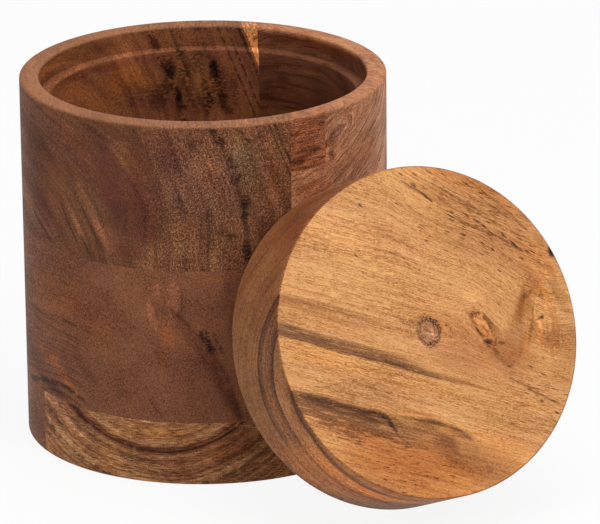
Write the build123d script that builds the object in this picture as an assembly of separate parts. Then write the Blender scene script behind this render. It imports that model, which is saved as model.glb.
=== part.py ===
from build123d import *
import math
import os

# A turned wooden canister with a loose plug lid. The block it is turned from is glued up
# from boards in three layers, and every board is a solid of its own. Millimetres, +Z up.
# The origin is the middle of the base, on the axis that the canister is turned about. The
# lid is off: it stands on its edge beside the canister and leans back against the wall.

# Turned shape of the canister
body_diameter = 120.0
body_height = 121.5
wall_thickness = 10.0
floor_thickness = 12.0
rim_thickness = 6.4       # wall left beside the rebate that takes the lid
rebate_depth = 7.2
outer_arris = 0.8         # softened edges: foot and outer rim
inner_arris = 0.8         # softened edges: inner rim and mouth of the bore
bore_corner = 3.0         # cove that the gouge leaves between the wall and the floor

# Glued-up layers, and the seams between their boards
lower_layer_height = 21.3
middle_layer_height = 51.7
upper_seam_offset = 22.9  # seam of the upper layer, from the axis towards +X
upper_seam_turn = 5.0     # degrees that this seam is turned about the axis
insert_width = 11.8       # short block let into the right board beside the seam
insert_height = 18.0
lower_left_depth = 6.4    # how far the left board of the lower layer reaches in from the wall

# Lid
lid_thickness = 34.0
lid_arris = 1.2
lid_clearance = 0.7       # between the lid and the rebate, all round
seat_gap = 0.1            # between the lid and the ledge when it is on

# How the lid stands beside the canister
lid_bearing = -50.5       # degrees from +X to where it stands around the canister
lid_heading = -62.7       # degrees from +X to where its outer face looks, seen from above
lid_lean = 24.8           # degrees that its outer face looks up
floor_gap = 0.1           # left under its edge
wall_gap = 0.3            # left where it leans on the wall

# Derived sizes
body_radius = body_diameter / 2
bore_radius = body_radius - wall_thickness
rebate_radius = body_radius - rim_thickness
ledge_height = body_height - rebate_depth
upper_layer_base = lower_layer_height + middle_layer_height
lid_radius = rebate_radius - lid_clearance
reach = 2 * (body_diameter + body_height)  # size of the blocks that part the layers


def turned_body():
    """The canister as it comes off the lathe, before it is told apart into boards."""
    outline = Polyline(
        (0, 0),
        (body_radius, 0),
        (body_radius, body_height),
        (rebate_radius, body_height),
        (rebate_radius, ledge_height),
        (bore_radius, ledge_height),
        (bore_radius, floor_thickness),
        (0, floor_thickness),
        close=True,
    )
    section = make_face(outline)
    softened = (
        ((body_radius, 0), outer_arris),
        ((body_radius, body_height), outer_arris),
        ((rebate_radius, body_height), inner_arris),
        ((bore_radius, ledge_height), inner_arris),
        ((bore_radius, floor_thickness), bore_corner),
    )
    for corner, radius in softened:
        section = fillet(section.vertices().sort_by_distance(corner)[0], radius)
    return revolve(Plane.XZ * section, Axis.Z)


def layer(low, high):
    """A block over the whole plan, from height low to height high."""
    return Pos(0, 0, (low + high) / 2) * Box(reach, reach, high - low)


def right_of(offset, turn=0.0):
    """The +X side of an upright plane at an offset from the axis, turned about the axis."""
    return Rot(0, 0, turn) * Pos(offset + reach / 2, 0, 0) * Box(reach, reach, reach)


def canister_boards(body):
    """Every board of the three layers, by name."""
    lower = body & layer(-reach / 2, lower_layer_height)
    middle = body & layer(lower_layer_height, upper_layer_base)
    upper = body & layer(upper_layer_base, reach / 2)

    right_of_seam = right_of(upper_seam_offset, upper_seam_turn)
    beyond_insert = right_of(upper_seam_offset + insert_width, upper_seam_turn)
    in_front = Pos(0, -reach / 2, 0) * Box(reach, reach, reach)
    beside_rim = layer(body_height - insert_height, reach / 2)
    insert_room = (right_of_seam - beyond_insert) & in_front & beside_rim

    upper_right = upper & right_of_seam
    right_of_lower_seam = right_of(lower_left_depth - body_radius)
    return {
        "upper_left_board": upper - right_of_seam,
        "upper_right_board": upper_right - insert_room,
        "upper_front_insert": upper_right & insert_room,
        "middle_board": middle,
        "lower_left_board": lower - right_of_lower_seam,
        "lower_right_board": lower & right_of_lower_seam,
    }


def level_lid():
    """The lid about its own middle, with its outer face up."""
    blank = Cylinder(lid_radius, lid_thickness)
    return fillet(blank.edges().filter_by(GeomType.CIRCLE), lid_arris)


def lean_against(body):
    """The place that stands the lid on its edge and leans it on the body's wall."""
    lean = math.radians(lid_lean)
    middle_height = (
        floor_gap
        + lid_arris
        + (lid_radius - lid_arris) * math.cos(lean)
        + (lid_thickness / 2 - lid_arris) * math.sin(lean)
    )
    bearing = Vector(1, 0, 0).rotate(Axis.Z, lid_bearing)
    posture = Rot(0, 0, lid_heading) * Rot(0, 90 - lid_lean, 0)
    stand_off = body_radius + lid_radius + lid_thickness
    for _ in range(8):
        place = Pos(bearing * stand_off + Vector(0, 0, middle_height)) * posture
        stand_off -= (place * level_lid()).distance_to(body) - wall_gap
    return place


def lid_swing(place):
    """The one turn that carries the lid up, over and down into the rebate, outer face down.

    Returns a point on the turn's axis, the axis and the angle in degrees."""
    start = place.position
    seat = Vector(0, 0, ledge_height + seat_gap + lid_thickness / 2)
    face_now = (place * Pos(0, 0, 1)).position - start
    face_then = Vector(0, 0, -1)
    travel = seat - start
    axis = travel.cross(face_then - face_now).normalized()
    now = face_now - axis * face_now.dot(axis)
    then = face_then - axis * face_then.dot(axis)
    angle = math.degrees(math.atan2(now.cross(then).dot(axis), now.dot(then))) % 360
    half = math.radians(angle / 2)
    pivot = start + travel * 0.5 + axis.cross(travel) * (0.5 / math.tan(half))
    return pivot, axis, angle


os.makedirs("parts", exist_ok=True)
canister = turned_body()
lid_place = lean_against(canister)
pieces = canister_boards(canister)
pieces["lid"] = lid_place * level_lid()
for name, piece in pieces.items():
    export_step(piece, f"parts/{name}.step")
    print(f"{name}: {piece.volume / 1000:.1f} cm3, {len(piece.solids())} solid")

swing_pivot, swing_axis, swing_angle = lid_swing(lid_place)
print(f"lid swing: through {tuple(swing_pivot)}")
print(f"           about {tuple(swing_axis)}, {swing_angle:.2f} degrees")
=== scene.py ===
import math
import bmesh
import bpy
from mathutils import Matrix, Vector


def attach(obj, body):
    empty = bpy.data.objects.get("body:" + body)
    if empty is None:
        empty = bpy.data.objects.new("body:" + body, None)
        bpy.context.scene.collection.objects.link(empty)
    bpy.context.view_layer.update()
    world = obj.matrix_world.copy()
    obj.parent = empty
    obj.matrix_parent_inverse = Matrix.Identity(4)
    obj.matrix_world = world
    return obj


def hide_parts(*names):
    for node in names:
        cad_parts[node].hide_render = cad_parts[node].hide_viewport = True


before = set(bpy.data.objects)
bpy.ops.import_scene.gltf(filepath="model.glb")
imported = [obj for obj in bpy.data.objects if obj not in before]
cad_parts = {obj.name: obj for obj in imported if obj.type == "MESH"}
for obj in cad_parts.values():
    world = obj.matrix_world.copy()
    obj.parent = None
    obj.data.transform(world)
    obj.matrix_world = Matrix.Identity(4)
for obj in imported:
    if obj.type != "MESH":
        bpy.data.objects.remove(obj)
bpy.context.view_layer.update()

mm = 0.001


def tint(red, green, blue):
    # a paint-chart colour, 0 to 255, as the linear colour that a socket takes
    def linear(part):
        part = part / 255
        return part / 12.92 if part < 0.04045 else ((part + 0.055) / 1.055) ** 2.4
    return linear(red), linear(green), linear(blue), 1.0


# short calls for the nodes that the woods share; their lengths are in millimetres
class NodeDesk:

    def __init__(self, tree):
        self.tree, self.kept = tree, {}
        self.place = self.add("TexCoord").outputs["Object"]

    def add(self, kind, values=None, **settings):
        # a node asked for twice is made once, which keeps the long chains of marks small
        values = values or {}
        order = repr([kind, sorted(settings.items()), [(key, self.told(value)) for key, value in values.items()]])
        if order in self.kept:
            return self.kept[order]
        made = self.kept[order] = self.tree.nodes.new("ShaderNode" + kind)
        for key, value in settings.items():
            setattr(made, key, value)
        for key, value in values.items():
            if isinstance(value, bpy.types.NodeSocket):
                self.tree.links.new(value, made.inputs[key])
            else:
                made.inputs[key].default_value = value
        return made

    def told(self, value):
        # how a socket or a plain value is written down in an order
        return value.node.name + value.identifier if isinstance(value, bpy.types.NodeSocket) else value

    def math(self, operation, a, b=0.0, clamp=False):
        return self.add("Math", {0: a, 1: b}, operation=operation, use_clamp=clamp).outputs[0]

    def plus(self, a, b):
        return self.math("ADD", a, b)

    def times(self, a, b):
        return self.math("MULTIPLY", a, b)

    def turned(self, location, turn=(0, 0, 0), size=(1, 1, 1), vector=None):
        # the point as seen from a bench that is turned and sized
        values = {"Vector": vector or self.place, "Location": location, "Rotation": turn, "Scale": size}
        return self.add("Mapping", values, vector_type="TEXTURE").outputs[0]

    def stretch(self, vector, a, b, c, shift=(0, 0, 0)):
        values = {"Vector": vector, "Location": shift, "Scale": (1 / a, 1 / b, 1 / c)}
        return self.add("Mapping", values, vector_type="POINT").outputs[0]

    def noise(self, vector, detail=2.0, roughness=0.5):
        values = {"Vector": vector, "Scale": 1.0, "Detail": detail, "Roughness": roughness}
        return self.add("TexNoise", values).outputs[0]

    def remap(self, value, fromLow, fromHigh, toLow=0.0, toHigh=1.0, smooth=True):
        values = {0: value, 1: fromLow, 2: fromHigh, 3: toLow, 4: toHigh}
        kind = "SMOOTHSTEP" if smooth else "LINEAR"
        return self.add("MapRange", values, interpolation_type=kind, clamp=not smooth).outputs[0]

    def bell(self, vector, centre, radii, turn=(0, 0, 0)):
        # 1 at the centre, falling softly to 0 at the radii
        near = self.turned(centre, turn, radii, vector)
        ball = self.add("TexGradient", {0: near}, gradient_type="SPHERICAL").outputs[1]
        return self.remap(ball, 0.0, 1.0)

    def band(self, value, start, end, softStart, softEnd):
        rise = self.remap(value, start - softStart, start + softStart)
        fall = self.remap(value, end - softEnd, end + softEnd, 1.0, 0.0)
        return self.times(rise, fall)

    def mix(self, factor, a, b, blend="MIX"):
        made = self.add("Mix", {0: factor, 6: a, 7: b}, data_type="RGBA", blend_type=blend)
        return made.outputs[2]

    def split(self, vector):
        return self.add("SeparateXYZ", {0: vector}).outputs

    def join(self, x, y, z):
        return self.add("CombineXYZ", {0: x, 1: y, 2: z}).outputs[0]

    def away(self, x, y):
        # length of a flat step
        return self.math("SQRT", self.plus(self.times(x, x), self.times(y, y)))


def startMaterial(name):
    material = bpy.data.materials.new(name)
    material.use_nodes = True
    material.node_tree.nodes.clear()
    return material, NodeDesk(material.node_tree)


def centred(desk, value, swing):
    return desk.times(desk.math("SUBTRACT", value, 0.5), swing)


def wavy(desk, point, ring, waves):
    # growth rings never run quite true
    for size, swing in waves:
        ring = desk.plus(ring, centred(desk, desk.noise(desk.stretch(point, *size), 2), swing))
    return ring


rampPlaces = (0.27, 0.5, 0.75)  # where the three middle colours of a wood sit


def rampOf(desk, value, colours):
    ramp = desk.add("ValToRGB", {0: value})
    stops = ramp.color_ramp.elements
    stops[0].position, stops[0].color = 0.0, colours[0]
    stops[1].position, stops[1].color = 1.0, colours[-1]
    for position, colour in zip(rampPlaces, colours[1:-1]):
        stops.new(position).color = colour
    return ramp.outputs[0]


# slow drift between a wood's cool and warm tint, and how much the fine grain drops where it is calm
drifting = {"size": (40, 13, 13), "shift": (5, 2, 8), "range": (0.36, 0.64)}
calmShare = 0.5


def grain(desk, fields, wood, calm=None):
    # fields are points in millimetres: bench with x along the grain, rings with y across the growth rings
    tone, parts = 0.5, []
    for field, size, detail, swing in wood["texture"]:
        part = desk.noise(desk.stretch(fields[field], *size), detail, 0.6)
        parts.append(part)
        step = centred(desk, part, swing)
        if calm is not None and min(size) < 1:
            step = desk.times(step, desk.remap(calm, 0.0, 1.0, 1.0, calmShare))
        tone = desk.plus(step, tone)
    colour = rampOf(desk, tone, wood["colours"])
    drift = desk.noise(desk.stretch(fields["bench"], *drifting["size"], drifting["shift"]), 2)
    drift = desk.remap(drift, *drifting["range"])
    colour = desk.mix(1.0, colour, desk.mix(drift, wood["cool"], wood["warm"]), "MULTIPLY")
    return {"colour": colour, "tone": tone, "fibres": parts[-2], "pores": None}


def addPores(desk, look, point, kinds, crowd=None):
    # open vessels: dark dashes along the grain, dots where the grain runs out
    for length, width, share, size in kinds:
        place = desk.stretch(point, length, width, width, (share * 7, 3.1, length))
        cells = desk.add("TexVoronoi", {"Vector": place, "Scale": 1.0})
        choice = desk.split(cells.outputs["Color"])[0]
        if crowd is not None:
            choice = desk.plus(choice, crowd)
        reach = desk.remap(choice, 1 - share, 1.15, 0.0, size, False)
        dots = desk.remap(desk.math("SUBTRACT", reach, cells.outputs["Distance"]), 0.0, size * 0.4)
        look["pores"] = dots if look["pores"] is None else desk.math("MAXIMUM", look["pores"], dots)


def stain(desk, look, mask, colour, amount, fray=2.0):
    # a soft mark that the grain shows through and frays
    broken = desk.times(mask, desk.plus(centred(desk, look["fibres"], fray), 1.0))
    look["colour"] = desk.mix(desk.remap(broken, 0.05, 0.8, 0.0, amount), look["colour"], colour, "MULTIPLY")


# what a mark does to the colour under it
stains = {
    "deep": (0.20, 0.18, 0.20, 1), "smudge": (0.22, 0.19, 0.21, 1), "dark": (0.40, 0.36, 0.38, 1),
    "brown": (0.66, 0.60, 0.56, 1), "shade": (0.78, 0.76, 0.78, 1), "dim": (0.78, 0.77, 0.82, 1),
    "dusk": (0.80, 0.68, 0.66, 1), "purple": (0.80, 0.70, 0.80, 1), "grey": (0.70, 0.74, 0.84, 1),
    "slate": (0.90, 1.00, 1.18, 1), "olive": (0.98, 1.12, 0.98, 1), "moss": (1.12, 1.28, 1.26, 1),
    "red": (1.00, 0.84, 0.74, 1), "rust": (1.10, 0.86, 0.62, 1), "russetLine": (0.66, 0.50, 0.44, 1),
    "warm": (1.14, 1.02, 0.84, 1), "gold": (1.26, 1.14, 0.78, 1), "tan": (1.36, 1.18, 0.94, 1),
    "orange": (1.42, 1.26, 1.02, 1), "light": (1.22, 1.24, 1.22, 1), "pale": (1.56, 1.58, 1.62, 1),
    "sap": (3.3, 3.7, 3.1, 1),
}


straying = 0.1  # how far marks stray with the grain


def strayed(desk, look, point):
    x, y, z = desk.split(point)
    return desk.join(x, desk.plus(y, centred(desk, look["tone"], straying)), z)


wallRadius = {"outside": 60, "inside": 51}
wallReach = 7.0  # how far a mark on the wall reaches into the wood


def onWall(desk, place, radius, mark):
    # a mark on the round wall: its angle and height, half length and half width, and its slope
    angle, height, length, width, tilt = mark[:5]
    turn = math.radians(angle)
    centre = (radius * math.cos(turn), radius * math.sin(turn), height)
    return desk.bell(place, centre, (length, wallReach, width), (0, -math.radians(tilt), turn + math.pi / 2))


def markWall(desk, look, place, wood):
    place = strayed(desk, look, place)
    for wall in ("outside", "inside"):
        for mark in wood.get(wall, []):
            stain(desk, look, onWall(desk, place, wallRadius[wall], mark), stains[mark[5]], mark[6])
    # smudges break up into rows of dots
    rows = desk.remap(desk.noise(desk.stretch(place, 1.5, 1.5, 0.7), 2, 0.6), 0.36, 0.60, 0.25, 1.0)
    for wall, key in (("outside", "smudges"), ("inside", "storeSmudges")):
        for mark in wood.get(key, []):
            mask = desk.times(onWall(desk, place, wallRadius[wall], mark), rows)
            stain(desk, look, mask, stains["smudge"], mark[5], 3.0)


def markRings(desk, look, ring, sides, wood):
    # growth lines: start, end, softness at each, colour, amount, how gappy, and the side that shows them
    for start, end, softStart, softEnd, colourName, amount, gaps, side in wood["lines"]:
        mask = desk.band(ring, start, end, softStart, softEnd)
        if gaps:
            mask = desk.times(mask, desk.remap(sides["gaps"], 0.5 - gaps, 0.56, 0.1, 1.0))
        mask = desk.times(mask, sides[side])
        stain(desk, look, mask, stains[colourName], amount)


def hatchRings(desk, look, ring, along, sides, wood):
    # swarms of fine dark lines along the rings: start, end, spacing, colour, amount, side
    for start, end, spacing, colourName, amount, side in wood.get("hatch", []):
        lines = desk.noise(desk.stretch(desk.join(along, ring, 0.0), 18, spacing, 1), 3, 0.65)
        mask = desk.times(desk.band(ring, start, end, 1.0, 1.0), desk.remap(lines, 0.48, 0.62))
        stain(desk, look, desk.times(mask, sides[side]), stains[colourName], amount)


poreTint = (0.26, 0.2, 0.18, 1)
roughSwing = 0.07  # rougher where the wood is dark
poreRough = 0.2
reliefDepth = 0.12 * mm


def finishWood(desk, look, wood):
    pores = look["pores"]
    look["colour"] = desk.mix(desk.times(pores, wood["poreAmount"]), look["colour"], poreTint, "MULTIPLY")
    height = desk.math("SUBTRACT", desk.times(look["fibres"], 0.5), pores)
    rough = desk.remap(look["tone"], 0.2, 0.8, wood["rough"] + roughSwing, wood["rough"] - roughSwing)
    rough = desk.math("ADD", rough, desk.times(pores, poreRough), True)
    shader = desk.add("BsdfPrincipled", {"Base Color": look["colour"], "Roughness": rough,
                                         "Specular IOR Level": wood["gloss"]})
    bump = desk.add("Bump", {"Height": height, "Strength": wood["relief"], "Distance": reliefDepth})
    desk.tree.links.new(bump.outputs[0], shader.inputs["Normal"])
    out = desk.add("OutputMaterial")
    desk.tree.links.new(shader.outputs[0], out.inputs[0])


canister = {
    "radius": 60 * mm, "height": 121.5 * mm,
    "boreRadius": 50 * mm, "floor": 12 * mm, "boreCorner": 3 * mm,
    "rebateRadius": 53.6 * mm, "ledge": 114.3 * mm,
    "arris": 0.8 * mm, "steps": 240,
    "lowerSeam": 21.3 * mm, "upperSeam": 73.0 * mm,
    "seamOffset": 22.9 * mm, "seamTurn": math.radians(5.0),
    "insertWidth": 11.8 * mm, "insertHeight": 18.0 * mm,
    "leftSeam": -53.6 * mm,
}
tiny = 1e-6  # two lengths this close are one
cutTiny = 1e-7  # the same, for what a saw cut leaves
sharpAngle = math.radians(35)


def near(a, b):
    return abs(a - b) < tiny


def ringEdges(bm, radius, height):
    # the edges of one ring of a spun shape
    return [e for e in bm.edges
            if all(near(math.hypot(v.co.x, v.co.y), radius) and near(v.co.z, height) for v in e.verts)]


def spun(profile, steps, rounds):
    bm = bmesh.new()
    line = [bm.verts.new((radius, 0, height)) for radius, height in profile]
    for a, b in zip(line, line[1:]):
        bm.edges.new((a, b))
    bmesh.ops.spin(bm, geom=bm.verts[:] + bm.edges[:], cent=(0, 0, 0), axis=(0, 0, 1),
                   angle=math.tau, steps=steps, use_merge=True)
    bmesh.ops.remove_doubles(bm, verts=bm.verts[:], dist=tiny)
    bmesh.ops.recalc_face_normals(bm, faces=bm.faces[:])
    for radius, height, offset, segments in rounds:
        bmesh.ops.bevel(bm, geom=ringEdges(bm, radius, height), offset=offset, offset_type="OFFSET",
                        affect="EDGES", segments=segments, profile=0.5, material=-1)
    return bm


def turnedBody(c):
    r, h = c["radius"], c["height"]
    profile = [(0, 0), (r, 0), (r, h), (c["rebateRadius"], h), (c["rebateRadius"], c["ledge"]),
               (c["boreRadius"], c["ledge"]), (c["boreRadius"], c["floor"]), (0, c["floor"])]
    rounds = [(r, 0, c["arris"], 4), (r, h, c["arris"], 4), (c["rebateRadius"], h, c["arris"], 4),
              (c["boreRadius"], c["ledge"], c["arris"], 4), (c["boreRadius"], c["floor"], c["boreCorner"], 6)]
    return spun(profile, c["steps"], rounds)


def cut(bm, place, normal):
    # takes off what lies on the normal's side and closes the cut
    bmesh.ops.bisect_plane(bm, geom=bm.verts[:] + bm.edges[:] + bm.faces[:], dist=cutTiny,
                           plane_co=place, plane_no=normal, clear_outer=True)
    rims = [e for e in bm.edges if e.is_boundary]
    bmesh.ops.triangle_fill(bm, edges=rims, use_beauty=True, use_dissolve=False)


def finishPiece(bm, name, node, body, material):
    bmesh.ops.remove_doubles(bm, verts=bm.verts[:], dist=cutTiny)
    bmesh.ops.recalc_face_normals(bm, faces=bm.faces[:])
    for face in bm.faces:
        face.smooth = True
    mesh = bpy.data.meshes.new(name)
    bm.to_mesh(mesh)
    bm.free()
    mesh.set_sharp_from_angle(angle=sharpAngle)
    piece = bpy.data.objects.new(name, mesh)
    bpy.context.collection.objects.link(piece)
    mesh.materials.append(material)
    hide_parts(node)
    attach(piece, body)


whole = turnedBody(canister)
seam = Vector((math.cos(canister["seamTurn"]), math.sin(canister["seamTurn"]), 0))
seamPoint = seam * canister["seamOffset"]
down, up = Vector((0, 0, -1)), Vector((0, 0, 1))

# the rim and its two arrises are lighter, partly worn wood and partly a painted highlight where light catches them;
# the ledge inside gets a faint painted highlight
rimWearAndSheen = {
    "top": 120.7, "soft": 0.5, "lift": (1.18, 1.08, 0.98, 1), "rubbed": tint(157, 108, 75), "rubbing": 0.5,
    "ledge": (113.2, 115.2), "ledgeSoft": 0.5, "ledgeWall": (55.5, 53.4), "ledgeLift": (1.0, 1.04, 1.08, 1),
}
storeEdges = {"wall": (55.0, 53.2), "mouth": (121.0, 119.2)}


def storeMask(desk, place):
    # 1 on the walls of the store, 0 outside
    x, y, high = desk.split(place)
    return desk.times(desk.remap(desk.away(x, y), *storeEdges["wall"]), desk.remap(high, *storeEdges["mouth"]))


def wearAndSheenRim(desk, look, place, wood, wearAndSheen):
    x, y, high = desk.split(place)
    # inside walls are recoloured per board: painted light on the upper left board, painted shade on the upper right
    # board and the insert, partly their own wood, and darker and warmer on the lower boards
    look["colour"] = desk.mix(storeMask(desk, place), look["colour"], wood["store"], "MULTIPLY")
    # lighter rim: partly wear, partly painted highlight; the wear also fills the pores
    wornAndLit = desk.times(desk.remap(high, wearAndSheen["top"] - wearAndSheen["soft"], wearAndSheen["top"] + wearAndSheen["soft"]),
                      desk.remap(look["fibres"], 0.3, 0.6, 0.7, 1.0))
    look["colour"] = desk.mix(wornAndLit, look["colour"], wearAndSheen["lift"], "MULTIPLY")
    look["colour"] = desk.mix(desk.times(wornAndLit, wearAndSheen["rubbing"]), look["colour"], wearAndSheen["rubbed"])
    look["pores"] = desk.times(look["pores"], desk.remap(wornAndLit, 0.0, 1.0, 1.0, 0.35))
    # the ledge inside: a faint painted highlight
    inner = desk.times(desk.remap(desk.away(x, y), *wearAndSheen["ledgeWall"]),
                       desk.band(high, *wearAndSheen["ledge"], wearAndSheen["ledgeSoft"], wearAndSheen["ledgeSoft"]))
    look["colour"] = desk.mix(inner, look["colour"], wearAndSheen["ledgeLift"], "MULTIPLY")


# where a board's growth lines show: left and right in x, front and back in y
sideEdges = {"front": (-8, -30), "back": (8, 30), "left": (-34, -46), "right": (-20, -8)}
lineWaves = [((22, 5, 5), 0.6)]  # the growth lines run truer than the grain


def boardMaterial(name, wood, ringOf):
    material, desk = startMaterial(name)
    place = desk.turned((0, 0, 0), (0, 0, 0), (mm, mm, mm))
    point = desk.turned((0, 0, 0), (0, 0, math.radians(wood["grainTurn"])), (mm, mm, mm))
    along, across, high = desk.split(point)
    plain = wavy(desk, point, ringOf(desk, place), lineWaves)
    ring = wavy(desk, point, plain, wood["waves"])
    x, y, z = desk.split(place)
    calm = storeMask(desk, place)
    if "smooth" in wood:
        calm = desk.math("MAXIMUM", calm, desk.remap(x, *wood["smooth"]))
    look = grain(desk, {"bench": point, "rings": desk.join(along, ring, desk.times(high, 0.15))}, wood, calm)
    sides = {side: desk.remap(x if side in ("left", "right") else y, *edges) for side, edges in sideEdges.items()}
    sides.update({"all": 1.0, "gaps": desk.noise(desk.stretch(point, 12, 2.6, 2.6), 3, 0.6)})
    markRings(desk, look, plain, sides, wood)
    hatchRings(desk, look, plain, along, sides, wood)
    markWall(desk, look, place, wood)
    crowd = centred(desk, desk.noise(desk.stretch(point, 40, 9, 9, (3, 3, 3)), 1), wood["poreDrift"])
    addPores(desk, look, point, wood["pores"], crowd)
    wearAndSheenRim(desk, look, place, wood, rimWearAndSheen)
    finishWood(desk, look, wood)
    return material


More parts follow.
